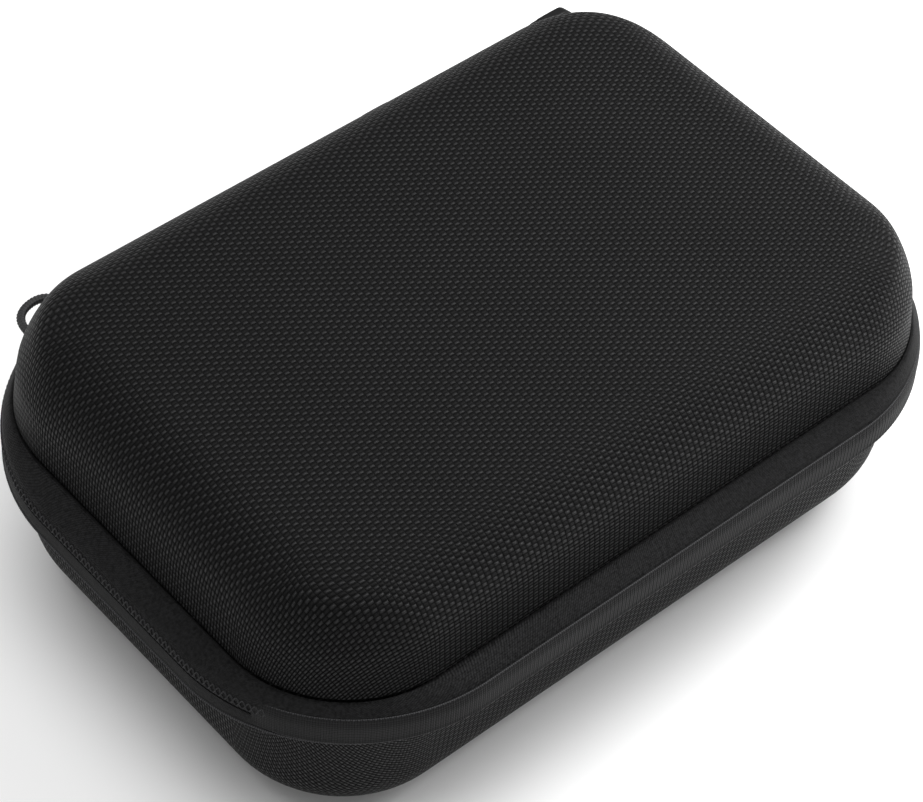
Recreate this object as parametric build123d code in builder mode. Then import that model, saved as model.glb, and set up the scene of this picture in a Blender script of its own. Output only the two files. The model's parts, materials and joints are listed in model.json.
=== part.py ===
"""Zip-round moulded travel case for a golf launch monitor.

Two deep thermoformed halves meet at a zip band. The zip runs round three sides and a
fabric hinge closes the fourth, the long side at +Y. The long sides run along X, the
opening side is -Y, and the case stands on the flat of its base at z = 0.
Heights called "rise" are measured up from the seam, and "inset" is measured inwards
from the outer face of the zip band, in plan.
"""

from build123d import *
from collections import namedtuple
from math import atan, cos, pi, radians, sin, tan
import os

os.makedirs("parts", exist_ok=True)

# Zip band
LENGTH = 220.0
WIDTH = 152.7
BAND_CORNER = 49.3
TAPE = 0.9
SLIT = 0.6
CREASE_INSET = 6.8
CREASE_RISE = 7.6
CREASE_CORNER = 33.25
CORNER_SHRINK = 0.57

# Moulded halves: draft of the wall, its height, the shoulder radius and the slope beyond it
Half = namedtuple("Half", "side draft wall radius slope")
LID = Half(1, 5.0, 9.7, 20.0, 0.11)
BASE = Half(-1, 5.0, 22.0, 21.0, 0.0)
ARC_STEPS = 7
CROWN_RUN = 26.0
CROWN_STEPS = 6
SHELL = 3.0
LINING = 0.6
LIP_RISE = 2.6
BINDING = 0.8

# Zip chain
COIL_RADIUS = 0.8
COIL_INSET = 2.0
COIL_RISE = 1.15
ZIP_END_ANGLE = 30.0

# Hinge strip
WEBBING = 1.0
WEBBING_LENGTH = 192.0
WEBBING_DEPTH = 26.0
WEBBING_DROP = 4.6

# Foam insert
FOAM_GAP = 0.4
FOAM_TOP = -8.5
CAVITY_FLOOR = -38.5
CAVITY_CORNER = 8.0
MONITOR_CAVITY = (120.0, 100.0)
MONITOR_X = -24.0
ACCESSORY_CAVITY = (36.0, 100.0)
ACCESSORY_X = 66.0
ACCESSORY_FLOOR = -32.5
FINGER_SLOT = (36.0, 14.0)
FINGER_DEPTH = 20.0

# Net pocket in the lid
NET = 0.8
NET_RISE = 9.0
NET_INSET = 10.7
NET_FRONT = -46.0
ELASTIC_WIDTH = 5.0
ELASTIC = 1.6
ELASTIC_LENGTH = 187.0
ELASTIC_ROUND = 0.6
POCKET_BINDING_WIDTH = 6.0

# Sliders and pulls
SLIDER_LENGTH = 11.0
SLIDER_WIDTH = 8.6
SLIDER_PLATE = 1.3
SLIDER_CORNER = 2.6
SLIDER_GAP = 0.35
INNER_PLATE = (9.0, 4.2, 1.0)
NECK = 0.4
NECK_LENGTH = 3.0
NECK_FORWARD = 3.0
NECK_DEPTH = 3.75
CROWN = (7.0, 2.4, 3.2)
CROWN_ROUND = 1.2
PIVOT_HEIGHT = 1.7
PIVOT_BORE = 1.0
LINK_BAR = 1.2
LINK_LENGTH = 7.0
LINK_INSIDE = 4.0
LINK_CORNER = 1.5
LINK_EYE_CORNER = 0.6
TAB_THICKNESS = 3.0
TAB_WIDTH = 9.0
TAB_NECK = 3.6
TAB_EYE = 0.95
TAB_START = 5.3
TAB_SHOULDER = 8.6
TAB_FLARE = 13.0
TAB_TIP = 3.4
TAB_STRAIGHT = 12.0
TAB_BEND_RADIUS = 73.0
TAB_BEND = 18.0
SLIDER_A_ANGLE = -105.0
PULL_A_ANGLE = 193.0
PULL_B_ANGLE = -8.0

# Corner loop: cord sewn in under the lower tape
CORD = 2.3
LOOP_ANGLE = -80.0
LOOP_RISE = -2.2
LOOP_ROUTE = [(-6.4, -0.9), (-6.9, 4.2), (-3.4, 9.4), (3.8, 9.6), (7.1, 4.3), (6.5, -0.9)]

# Derived
SEAM_Z = CREASE_RISE + BASE.wall * cos(radians(BASE.draft)) + BASE.radius * (1 - sin(radians(BASE.draft)))
CORNER_X = LENGTH / 2 - BAND_CORNER
CORNER_Y = WIDTH / 2 - BAND_CORNER

# The tape's outer and inner faces as (inset, corner radius, rise), from the slit to the crease
TAPE_OUTER = [
    (0.0, BAND_CORNER, SLIT),
    (0.0, BAND_CORNER, 1.6),
    (2.4, 44.0, 4.2),
    (CREASE_INSET, CREASE_CORNER, CREASE_RISE),
]
TAPE_INNER = [
    (TAPE, BAND_CORNER - TAPE, SLIT),
    (TAPE, BAND_CORNER - TAPE, 1.3),
    (3.1, 43.3, 3.7),
    (CREASE_INSET, CREASE_CORNER, CREASE_RISE - 1.05),
]


def wall_corner(inset):
    """Plan corner radius of the moulded wall at an inset."""
    return CREASE_CORNER - CORNER_SHRINK * (inset - CREASE_INSET)


def throat_inset(half, skin):
    """Inset of the straight throat that lies skin mm inside the wall at the crease."""
    return CREASE_INSET + skin / cos(radians(half.draft))


def outline(inset, corner, rise):
    """Rounded plan outline of the case at one height."""
    with BuildSketch(Plane.XY.offset(SEAM_Z + rise)) as level:
        RectangleRounded(LENGTH - 2 * inset, WIDTH - 2 * inset, corner)
    return level.sketch


def block(inset, corner, low, high, mode=Mode.ADD):
    """Straight-sided block with the case's outline between two rises."""
    extrude(outline(inset, corner, low), amount=high - low, mode=mode)


def banded(levels, side, mode=Mode.ADD):
    """Solid whose outline steps through levels of (inset, corner, rise)."""
    sections = [outline(inset, corner, side * rise) for inset, corner, rise in levels]
    loft(sections, ruled=True, mode=mode)


def dome(half, skin, mode=Mode.ADD):
    """Moulded half from the crease to its flat, skin mm inside its outer face."""
    draft = radians(half.draft)
    shoulder = pi / 2 - atan(half.slope) - draft
    centre_inset = CREASE_INSET + half.wall * sin(draft) + half.radius * cos(draft)
    centre_rise = CREASE_RISE + half.wall * cos(draft) - half.radius * sin(draft)
    levels = []
    wall_steps = round(half.wall / (half.radius * shoulder / ARC_STEPS))
    for step in range(wall_steps):
        height = half.wall * step / wall_steps
        levels.append((throat_inset(half, skin) + height * sin(draft), CREASE_RISE + height * cos(draft)))
    for step in range(ARC_STEPS + 1):
        angle = draft + shoulder * step / ARC_STEPS
        inset = centre_inset - (half.radius - skin) * cos(angle)
        levels.append((inset, centre_rise + (half.radius - skin) * sin(angle)))
    if half.slope:
        edge_inset, edge_rise = levels[-1]
        for step in range(1, CROWN_STEPS + 1):
            run = CROWN_RUN * step / CROWN_STEPS
            levels.append((edge_inset + run, edge_rise + half.slope * run * (1 - run / CROWN_RUN / 2)))
    loft([outline(inset, wall_corner(inset), half.side * rise) for inset, rise in levels], mode=mode)


def throat(half, skin, low, high, mode=Mode.ADD):
    """Straight block inside the lip, skin mm inside the wall."""
    inset = throat_inset(half, skin)
    ends = sorted((half.side * low, half.side * high))
    block(inset, wall_corner(inset), ends[0], ends[1], mode)


def finish(builder, label):
    """Label a finished piece and write it."""
    builder.part.label = label
    export_step(builder.part, f"parts/{label}.step")


# ---------------------------------------------------------------- shells and linings

LIP_SHARE = (LIP_RISE - TAPE_INNER[1][2]) / (TAPE_INNER[2][2] - TAPE_INNER[1][2])
LIP_EDGE = [a + LIP_SHARE * (b - a) for a, b in zip(TAPE_INNER[1], TAPE_INNER[2])]
LIP = [LIP_EDGE, TAPE_INNER[2], TAPE_INNER[3], TAPE_OUTER[3]]

for half, name in ((LID, "lid"), (BASE, "base")):
    with BuildPart() as shell:
        dome(half, 0)
        banded(LIP, half.side)
        dome(half, SHELL, Mode.SUBTRACT)
        throat(half, SHELL, LIP_RISE, CREASE_RISE, Mode.SUBTRACT)
    finish(shell, f"{name}_shell")

    with BuildPart() as lining:
        dome(half, SHELL)
        throat(half, SHELL, LIP_RISE, CREASE_RISE)
        dome(half, SHELL + LINING, Mode.SUBTRACT)
        throat(half, SHELL + LINING, LIP_RISE, CREASE_RISE, Mode.SUBTRACT)
    finish(lining, f"{name}_lining")

    with BuildPart() as binding:
        throat(half, SHELL + LINING, LIP_RISE, CREASE_RISE)
        throat(half, SHELL + LINING + BINDING, LIP_RISE, CREASE_RISE, Mode.SUBTRACT)
    finish(binding, f"{name}_seam_binding")

# ---------------------------------------------------------------- zip tapes and coils

for half, name in ((LID, "lid"), (BASE, "base")):
    with BuildPart() as tape:
        banded(TAPE_OUTER, half.side)
        banded(TAPE_INNER, half.side, Mode.SUBTRACT)
        banded([TAPE_INNER[3], TAPE_OUTER[3]], half.side, Mode.SUBTRACT)
    finish(tape, f"{name}_zip_tape")

    with BuildPart() as coil:
        with BuildLine(Plane.XY.offset(SEAM_Z + half.side * COIL_RISE)) as chain:
            radius = BAND_CORNER - COIL_INSET
            side_x = LENGTH / 2 - COIL_INSET
            front_y = COIL_INSET - WIDTH / 2
            CenterArc((CORNER_X, CORNER_Y), radius, ZIP_END_ANGLE, -ZIP_END_ANGLE)
            Line((side_x, CORNER_Y), (side_x, -CORNER_Y))
            CenterArc((CORNER_X, -CORNER_Y), radius, 0, -90)
            Line((CORNER_X, front_y), (-CORNER_X, front_y))
            CenterArc((-CORNER_X, -CORNER_Y), radius, 270, -90)
            Line((-side_x, -CORNER_Y), (-side_x, CORNER_Y))
            CenterArc((-CORNER_X, CORNER_Y), radius, 180, -ZIP_END_ANGLE)
        with BuildSketch(Plane(chain.line @ 0, z_dir=chain.line % 0)):
            Circle(COIL_RADIUS)
        sweep()
    finish(coil, f"{name}_zip_coil")

# ---------------------------------------------------------------- hinge strip

STRIP_OUTER = [
    (-WEBBING, BAND_CORNER + WEBBING, SLIT),
    (-WEBBING, BAND_CORNER + WEBBING, 2.0),
    (1.6, 45.0, WEBBING_DROP),
]

with BuildPart() as hinge_webbing:
    banded(STRIP_OUTER, BASE.side)
    banded(TAPE_OUTER, BASE.side, Mode.SUBTRACT)
    with Locations((0, WIDTH / 2, SEAM_Z)):
        Box(WEBBING_LENGTH, WEBBING_DEPTH, 4 * WEBBING_DROP, mode=Mode.INTERSECT)
finish(hinge_webbing, "hinge_webbing")

# ---------------------------------------------------------------- foam insert

with BuildPart() as foam_insert:
    dome(BASE, SHELL + LINING + FOAM_GAP)
    block(0, BAND_CORNER, FOAM_TOP, 0, Mode.SUBTRACT)
    with BuildSketch(Plane.XY.offset(SEAM_Z + FOAM_TOP)):
        with Locations((MONITOR_X, 0)):
            RectangleRounded(*MONITOR_CAVITY, CAVITY_CORNER)
    extrude(amount=CAVITY_FLOOR - FOAM_TOP, mode=Mode.SUBTRACT)
    with BuildSketch(Plane.XY.offset(SEAM_Z + FOAM_TOP)):
        with Locations((ACCESSORY_X, 0)):
            RectangleRounded(*ACCESSORY_CAVITY, CAVITY_CORNER)
    extrude(amount=ACCESSORY_FLOOR - FOAM_TOP, mode=Mode.SUBTRACT)
    with BuildSketch(Plane.XY.offset(SEAM_Z + FOAM_TOP)):
        with Locations((MONITOR_X, MONITOR_CAVITY[1] / 2), (MONITOR_X, -MONITOR_CAVITY[1] / 2)):
            SlotOverall(*FINGER_SLOT)
    extrude(amount=-FINGER_DEPTH, mode=Mode.SUBTRACT)
finish(foam_insert, "foam_insert")

# ---------------------------------------------------------------- net pocket

with BuildPart() as mesh_pocket:
    block(NET_INSET, wall_corner(NET_INSET), NET_RISE, NET_RISE + NET)
    with Locations((0, NET_FRONT - WIDTH / 2, SEAM_Z + NET_RISE)):
        Box(LENGTH, WIDTH, LENGTH, mode=Mode.SUBTRACT)
finish(mesh_pocket, "mesh_pocket")

with BuildPart() as pocket_binding:
    inner = NET_INSET + POCKET_BINDING_WIDTH
    block(NET_INSET, wall_corner(NET_INSET), NET_RISE - BINDING, NET_RISE)
    block(inner, wall_corner(inner), NET_RISE - BINDING, NET_RISE, Mode.SUBTRACT)
    with Locations((0, NET_FRONT - WIDTH / 2, SEAM_Z + NET_RISE)):
        Box(LENGTH, WIDTH, LENGTH, mode=Mode.SUBTRACT)
finish(pocket_binding, "pocket_binding")

with BuildPart() as pocket_elastic:
    with Locations((0, NET_FRONT - ELASTIC_WIDTH / 2, SEAM_Z + NET_RISE + NET / 2)):
        Box(ELASTIC_LENGTH, ELASTIC_WIDTH, ELASTIC)
    fillet(pocket_elastic.edges().filter_by(Axis.X), ELASTIC_ROUND)
finish(pocket_elastic, "pocket_elastic")

# ---------------------------------------------------------------- sliders and pulls


def polar(centre_x, centre_y, radius, angle):
    """Point at seam height on a circle round a plan centre."""
    turn = radians(angle)
    return (centre_x + radius * cos(turn), centre_y + radius * sin(turn), SEAM_Z)


def heading(angle):
    """Horizontal unit vector at an angle from +X."""
    return (cos(radians(angle)), sin(radians(angle)), 0)


PIVOT_OUT = SLIDER_GAP + SLIDER_PLATE + PIVOT_HEIGHT
SLIDER_A_FACE = Plane(
    origin=polar(-CORNER_X, -CORNER_Y, BAND_CORNER, SLIDER_A_ANGLE),
    x_dir=heading(SLIDER_A_ANGLE + 90),
    z_dir=heading(SLIDER_A_ANGLE),
)
SLIDER_B_FACE = Plane(origin=(-CORNER_X, -WIDTH / 2, SEAM_Z), x_dir=(1, 0, 0), z_dir=(0, -1, 0))
PULL_A_FACE = Plane(
    origin=SLIDER_A_FACE.from_local_coords((0, 0, PIVOT_OUT)),
    x_dir=heading(PULL_A_ANGLE),
    z_dir=(0, 0, 1),
)
PULL_B_FACE = Plane(
    origin=SLIDER_B_FACE.from_local_coords((0, 0, PIVOT_OUT)),
    x_dir=heading(PULL_B_ANGLE),
    z_dir=(0, 0, -1),
)


def slider_body(face, nose, label):
    """Die-cast slider astride the seam; nose is the way, along the face's x, to the closed chain."""
    with BuildPart(face) as body:
        with BuildSketch(face.offset(SLIDER_GAP)):
            RectangleRounded(SLIDER_LENGTH, SLIDER_WIDTH, SLIDER_CORNER)
        extrude(amount=SLIDER_PLATE)
        with Locations((0, 0, SLIDER_GAP + SLIDER_PLATE)):
            Box(*CROWN, align=(Align.CENTER, Align.CENTER, Align.MIN))
        ridge = body.edges().filter_by(Axis(face.origin, face.y_dir))
        fillet(ridge.sort_by(Axis(face.origin, face.z_dir))[-2:], CROWN_ROUND)
        with Locations((0, 0, PIVOT_OUT)):
            Cylinder(PIVOT_BORE, SLIDER_WIDTH, rotation=(90, 0, 0), mode=Mode.SUBTRACT)
        with Locations((nose * NECK_FORWARD, 0, SLIDER_GAP)):
            Box(NECK_LENGTH, NECK, NECK_DEPTH, align=(Align.CENTER, Align.CENTER, Align.MAX))
        with Locations((0, 0, SLIDER_GAP - NECK_DEPTH)):
            Box(*INNER_PLATE, align=(Align.CENTER, Align.CENTER, Align.MAX))
    finish(body, label)


def pull(face, name):
    """Stamped link through the slider's crown, and the moulded tab that hangs on it."""
    flat = Plane(face.origin, x_dir=face.x_dir, z_dir=face.y_dir)
    with BuildPart() as link:
        with BuildSketch(flat):
            with Locations((LINK_LENGTH / 2, 0)):
                RectangleRounded(LINK_LENGTH + LINK_BAR, LINK_INSIDE + 2 * LINK_BAR, LINK_CORNER)
                RectangleRounded(LINK_LENGTH - LINK_BAR, LINK_INSIDE, LINK_EYE_CORNER, mode=Mode.SUBTRACT)
        extrude(amount=LINK_BAR / 2, both=True)
    finish(link, f"{name}_link")

    with BuildPart() as tab:
        with BuildSketch(face):
            with BuildLine():
                straight = Line((TAB_START, 0), (TAB_STRAIGHT, 0))
                bend = JernArc(straight @ 1, straight % 1, TAB_BEND_RADIUS, -TAB_BEND)
            trace(line_width=TAB_THICKNESS)
        extrude(amount=TAB_WIDTH / 2, both=True)
        with BuildSketch(flat) as shape:
            with BuildLine():
                tip = TAB_STRAIGHT + TAB_BEND_RADIUS * sin(radians(TAB_BEND)) - TAB_THICKNESS / 2
                neck, half_width = TAB_NECK / 2, TAB_WIDTH / 2
                lower = [(TAB_START, -neck), (TAB_SHOULDER, -neck), (TAB_FLARE, -half_width), (tip, -half_width)]
                upper = [(x, -y) for x, y in reversed(lower)]
                Polyline(*lower, *upper, close=True)
            make_face()
            fillet(shape.vertices().sort_by(Axis.X)[-2:], TAB_TIP)
        extrude(amount=TAB_WIDTH, both=True, mode=Mode.INTERSECT)
        with BuildSketch(face):
            with Locations((LINK_LENGTH, 0)):
                Circle(TAB_EYE)
        extrude(amount=TAB_WIDTH, both=True, mode=Mode.SUBTRACT)
    finish(tab, f"{name}_tab")


slider_body(SLIDER_A_FACE, -1, "slider_a_body")
slider_body(SLIDER_B_FACE, -1, "slider_b_body")
pull(PULL_A_FACE, "pull_a")
pull(PULL_B_FACE, "pull_b")

# ---------------------------------------------------------------- corner loop

LOOP_FACE = Plane(
    origin=Vector(*polar(CORNER_X, -CORNER_Y, BAND_CORNER, LOOP_ANGLE)) + Vector(0, 0, LOOP_RISE),
    x_dir=heading(LOOP_ANGLE - 90),
    z_dir=(0, 0, 1),
)


def bend_radii(route):
    """Largest comfortable radius at each corner of a cord's route."""
    runs = [Vector(*b) - Vector(*a) for a, b in zip(route, route[1:])]
    radii = []
    for before, after in zip(runs, runs[1:]):
        half_turn = radians(before.get_angle(after)) / 2
        radii.append(0.45 * min(before.length, after.length) / tan(half_turn))
    return radii


with BuildPart() as corner_loop:
    with BuildLine(LOOP_FACE) as route:
        FilletPolyline(*LOOP_ROUTE, radius=bend_radii(LOOP_ROUTE))
    with BuildSketch(Plane(route.line @ 0, z_dir=route.line % 0)):
        Circle(CORD / 2)
    sweep()
finish(corner_loop, "corner_loop")

loop_length = route.wires()[0].length
tube_share = corner_loop.part.volume / (pi * CORD**2 / 4 * loop_length)
print("loop bend radii", [round(radius, 2) for radius in bend_radii(LOOP_ROUTE)])
print("loop length", round(loop_length, 2), "volume over section times length", round(tube_share, 4))
print("seam height", round(SEAM_Z, 3))
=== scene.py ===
import json
import math

import bmesh
import bpy
import numpy as np
from mathutils import Matrix, Vector


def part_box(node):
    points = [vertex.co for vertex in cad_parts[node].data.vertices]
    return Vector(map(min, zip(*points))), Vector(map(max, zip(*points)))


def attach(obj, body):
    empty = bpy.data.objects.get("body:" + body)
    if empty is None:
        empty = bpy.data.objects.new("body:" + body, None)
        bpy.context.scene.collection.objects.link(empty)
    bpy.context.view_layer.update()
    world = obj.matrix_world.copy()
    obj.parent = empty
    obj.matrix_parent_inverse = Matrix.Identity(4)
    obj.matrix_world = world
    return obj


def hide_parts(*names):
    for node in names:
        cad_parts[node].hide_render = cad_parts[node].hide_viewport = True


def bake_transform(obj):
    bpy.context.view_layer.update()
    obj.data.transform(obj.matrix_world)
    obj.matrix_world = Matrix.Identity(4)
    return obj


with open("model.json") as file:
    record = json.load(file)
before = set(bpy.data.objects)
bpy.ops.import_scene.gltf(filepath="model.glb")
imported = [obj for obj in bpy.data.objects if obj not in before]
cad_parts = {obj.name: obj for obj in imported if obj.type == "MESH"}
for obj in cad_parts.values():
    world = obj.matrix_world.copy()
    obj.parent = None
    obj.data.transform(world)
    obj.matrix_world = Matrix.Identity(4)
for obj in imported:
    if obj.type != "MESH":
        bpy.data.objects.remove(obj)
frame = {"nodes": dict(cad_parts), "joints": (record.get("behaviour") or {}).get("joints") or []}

# ---------------------------------------------------------------- dimensions, in millimetres

MM = 0.001
joints = {joint["name"]: joint for joint in frame["joints"]}
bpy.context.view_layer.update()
band_low, band_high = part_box("base_zip_tape")
LENGTH = (band_high.x - band_low.x) / MM
WIDTH = (band_high.y - band_low.y) / MM
SEAM = joints["lid_opening"]["pos_m"][2] / MM
BAND_CORNER = 49.3
CREASE_INSET, CREASE_RISE, CREASE_CORNER = 6.8, 7.6, 33.25
SHELL, LINING = 3.0, 0.6
LIP_RISE = 2.6
CORNER_X, CORNER_Y = LENGTH / 2 - BAND_CORNER, WIDTH / 2 - BAND_CORNER
SIDE_STEPS, CORNER_STEPS, LONG_STEPS = 14, 24, 40
SPINE_INSET = 71.0


# ---------------------------------------------------------------- mesh helpers

def plan_table():
    """The ring's points, anticlockwise from the middle of the +X side: corner centre signs, cosine and sine."""
    rows = [(1, step / SIDE_STEPS, 1, 0) for step in range(SIDE_STEPS)]
    for start, sign in ((0, 1), (90, -1)):
        for step in range(CORNER_STEPS):
            turn = math.radians(start + 90 * step / CORNER_STEPS)
            rows.append((sign, 1, math.cos(turn), math.sin(turn)))
        if sign > 0:
            rows += [(1 - 2 * step / LONG_STEPS, 1, 0, 1) for step in range(LONG_STEPS)]
    rows += [(-1, 1 - step / SIDE_STEPS, -1, 0) for step in range(SIDE_STEPS + 1)]
    rows += [(x, -y, c, -s) for x, y, c, s in rows[-2:0:-1]]
    return np.array(rows, float)


PLAN = plan_table()
COUNT = len(PLAN)


def ring(inset, corner):
    """Plan points of the outline at an inset with a corner radius."""
    half_x, half_y = LENGTH / 2 - inset - corner, WIDTH / 2 - inset - corner
    return np.column_stack([PLAN[:, 0] * half_x + PLAN[:, 2] * corner, PLAN[:, 1] * half_y + PLAN[:, 3] * corner])


def made(name, points, faces, uvs=None, sharp=50):
    """Mesh object from points in millimetres; uvs, one pair for each face corner, are millimetres of cloth."""
    mesh = bpy.data.meshes.new(name)
    mesh.from_pydata([tuple(point) for point in np.asarray(points, float) * MM], [], faces)
    if uvs is not None:
        mesh.uv_layers.new(name="cloth").data.foreach_set("uv", np.asarray(uvs, np.float32).ravel())
    work = bmesh.new()
    work.from_mesh(mesh)
    bmesh.ops.recalc_face_normals(work, faces=work.faces)
    work.to_mesh(mesh)
    work.free()
    mesh.shade_smooth()
    mesh.set_sharp_from_angle(angle=math.radians(sharp))
    piece = bpy.data.objects.new(name, mesh)
    bpy.context.scene.collection.objects.link(piece)
    return piece


def rings(name, levels, capped=False, closed=False, cloth=None, sharp=50):
    """Surface through outline rings at levels of (inset, corner, rise), capped at its ends or closed on itself."""
    plans = [ring(inset, corner) for inset, corner, _ in levels]
    points = np.vstack([np.column_stack([p, np.full(COUNT, SEAM + l[2])]) for p, l in zip(plans, levels)])
    if cloth is None:
        cloth = band_cloth(plans, levels)
    faces, uvs = [], []
    rows = len(levels)
    for row in range(rows if closed else rows - 1):
        after = (row + 1) % rows
        far = row + 1 if closed else after
        for i in range(COUNT):
            j = (i + 1) % COUNT
            faces.append((row * COUNT + i, row * COUNT + j, after * COUNT + j, after * COUNT + i))
            uvs += [cloth[row][i], cloth[row][i + 1], cloth[far][i + 1], cloth[far][i]]
    for row in (0, rows - 1) if capped else ():
        for i in range(COUNT // 2):
            near, across = (i, i + 1), ((COUNT - i - 1) % COUNT, (COUNT - i) % COUNT)
            loop = list(dict.fromkeys([*near, *across]))
            faces.append(tuple(row * COUNT + k for k in loop))
            uvs += [cloth[row][k] for k in loop]
    return made(name, points, faces, uvs, sharp)


def band_cloth(plans, levels):
    """Cloth coordinates of a band: length round the outline, and length across its section."""
    steps = np.linalg.norm(np.diff(np.vstack([plans[0], plans[0][:1]]), axis=0), axis=1)
    along = np.concatenate([[0], np.cumsum(steps)])
    middle = [np.array([l[0], l[2]]) for l in levels]
    middle.append(middle[0])
    across = np.concatenate([[0], np.cumsum([np.linalg.norm(b - a) for a, b in zip(middle, middle[1:])])])
    return [np.column_stack([along, np.full(COUNT + 1, depth)]) for depth in across]


class Track:
    """Closed plan line round the case at an inset, clockwise from the middle of the +Y side."""

    def __init__(self, inset, corner):
        self.corner = corner
        self.half_x, self.half_y = LENGTH / 2 - inset - corner, WIDTH / 2 - inset - corner
        arc = corner * math.pi / 2
        runs = [self.half_x, arc, 2 * self.half_y, arc, 2 * self.half_x, arc, 2 * self.half_y, arc, self.half_x]
        self.ends = np.cumsum([0] + runs)
        self.length = self.ends[-1]

    def at(self, distance):
        """Point and outward direction at distances along the line."""
        distance = np.mod(distance, self.length)
        run = np.clip(np.searchsorted(self.ends, distance, side="right") - 1, 0, 8)
        over = distance - self.ends[run]
        turn = np.pi / 2 - np.where(run % 2 == 1, (run // 2) * np.pi / 2 + over / self.corner, (run // 2) * np.pi / 2)
        centre_x = np.choose(run, [over, self.half_x, self.half_x, self.half_x, self.half_x - over,
                                   -self.half_x, -self.half_x, -self.half_x, over - self.half_x])
        centre_y = np.choose(run, [self.half_y, self.half_y, self.half_y - over, -self.half_y, -self.half_y,
                                   -self.half_y, over - self.half_y, self.half_y, self.half_y])
        out = np.column_stack([np.cos(turn), np.sin(turn)])
        straight = np.column_stack([centre_x, centre_y])
        return straight + self.corner * out, out

    def corner_at(self, number, degrees):
        """Distance to a number of degrees round corner 1 to 4, clockwise from its first end."""
        return self.ends[2 * number - 1] + self.corner * math.radians(degrees)


def sweep(name, track, start, end, step, section, sharp=50):
    """Strip of closed section swept along a track. section gives (out, rise) points at each distance."""
    distances = np.linspace(start, end, int(round((end - start) / step)) + 1)
    plan, out = track.at(distances)
    shape = np.array([section(d) for d in distances])
    rows, sides = shape.shape[:2]
    points = np.empty((rows, sides, 3))
    points[:, :, :2] = plan[:, None, :] + out[:, None, :] * shape[:, :, :1]
    points[:, :, 2] = SEAM + shape[:, :, 1]
    closed_shape = np.vstack([shape[0], shape[0][:1]])
    round_it = np.concatenate([[0], np.cumsum(np.linalg.norm(np.diff(closed_shape, axis=0), axis=1))])
    faces, uvs = [], []
    for row in range(rows - 1):
        for i in range(sides):
            j = (i + 1) % sides
            faces.append((row * sides + i, row * sides + j, (row + 1) * sides + j, (row + 1) * sides + i))
            a, b = distances[row], distances[row + 1]
            uvs += [(a, round_it[i]), (a, round_it[i + 1]), (b, round_it[i + 1]), (b, round_it[i])]
    for row in (0, rows - 1):
        faces.append(tuple(row * sides + i for i in range(sides)))
        uvs += [tuple(shape[row][i]) for i in range(sides)]
    return made(name, points.reshape(-1, 3), faces, uvs, sharp)


def tube(name, line, radius, sides, sharp=60):
    """Round tube along a line of points; radius may be an array of rows by sides."""
    line = np.asarray(line, float)
    along = np.gradient(line, axis=0)
    along /= np.linalg.norm(along, axis=1)[:, None]
    side = np.cross(along[0], (0.3, 0.2, 1.0))
    frames = []
    for tangent in along:
        side = side - tangent * side.dot(tangent)
        side /= np.linalg.norm(side)
        frames.append((side, np.cross(tangent, side)))
    frames = np.array(frames)
    turn = 2 * np.pi * np.arange(sides) / sides
    size = np.broadcast_to(radius, (len(line), sides))
    points = line[:, None, :] + size[:, :, None] * (
        np.cos(turn)[None, :, None] * frames[:, 0][:, None, :] + np.sin(turn)[None, :, None] * frames[:, 1][:, None, :]
    )
    steps = np.concatenate([[0], np.cumsum(np.linalg.norm(np.diff(line, axis=0), axis=1))])
    girth = 2 * np.pi * float(np.mean(size)) / sides
    faces, uvs = [], []
    for row in range(len(line) - 1):
        for i in range(sides):
            j = (i + 1) % sides
            faces.append((row * sides + i, row * sides + j, (row + 1) * sides + j, (row + 1) * sides + i))
            uvs += [(steps[row], girth * i), (steps[row], girth * (i + 1)),
                    (steps[row + 1], girth * (i + 1)), (steps[row + 1], girth * i)]
    for row in (0, len(line) - 1):
        faces.append(tuple(row * sides + i for i in range(sides)))
        uvs += [(0, girth * i) for i in range(sides)]
    return made(name, points.reshape(-1, 3), faces, uvs, sharp)


def softened(name, node, voxel, passes):
    """A CAD node's shape in one even mesh with eased edges."""
    piece = bpy.data.objects.new(name, frame["nodes"][node].data.copy())
    bpy.context.scene.collection.objects.link(piece)
    piece.data.materials.clear()
    remesh = piece.modifiers.new("remesh", "REMESH")
    remesh.mode = "VOXEL"
    remesh.voxel_size = voxel * MM
    ease = piece.modifiers.new("ease", "SMOOTH")
    ease.iterations = passes
    graph = bpy.context.evaluated_depsgraph_get()
    mesh = bpy.data.meshes.new_from_object(piece.evaluated_get(graph))
    piece.modifiers.clear()
    piece.data = mesh
    mesh.shade_smooth()
    return piece


def dress(piece, material, body, slot, *nodes):
    """Give a piece its material and body, and hide the CAD nodes it stands for; slot is not used."""
    piece.data.materials.clear()
    piece.data.materials.append(material)
    if body:
        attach(piece, body)
    if nodes:
        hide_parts(*nodes)
    return piece


# ---------------------------------------------------------------- materials

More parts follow.
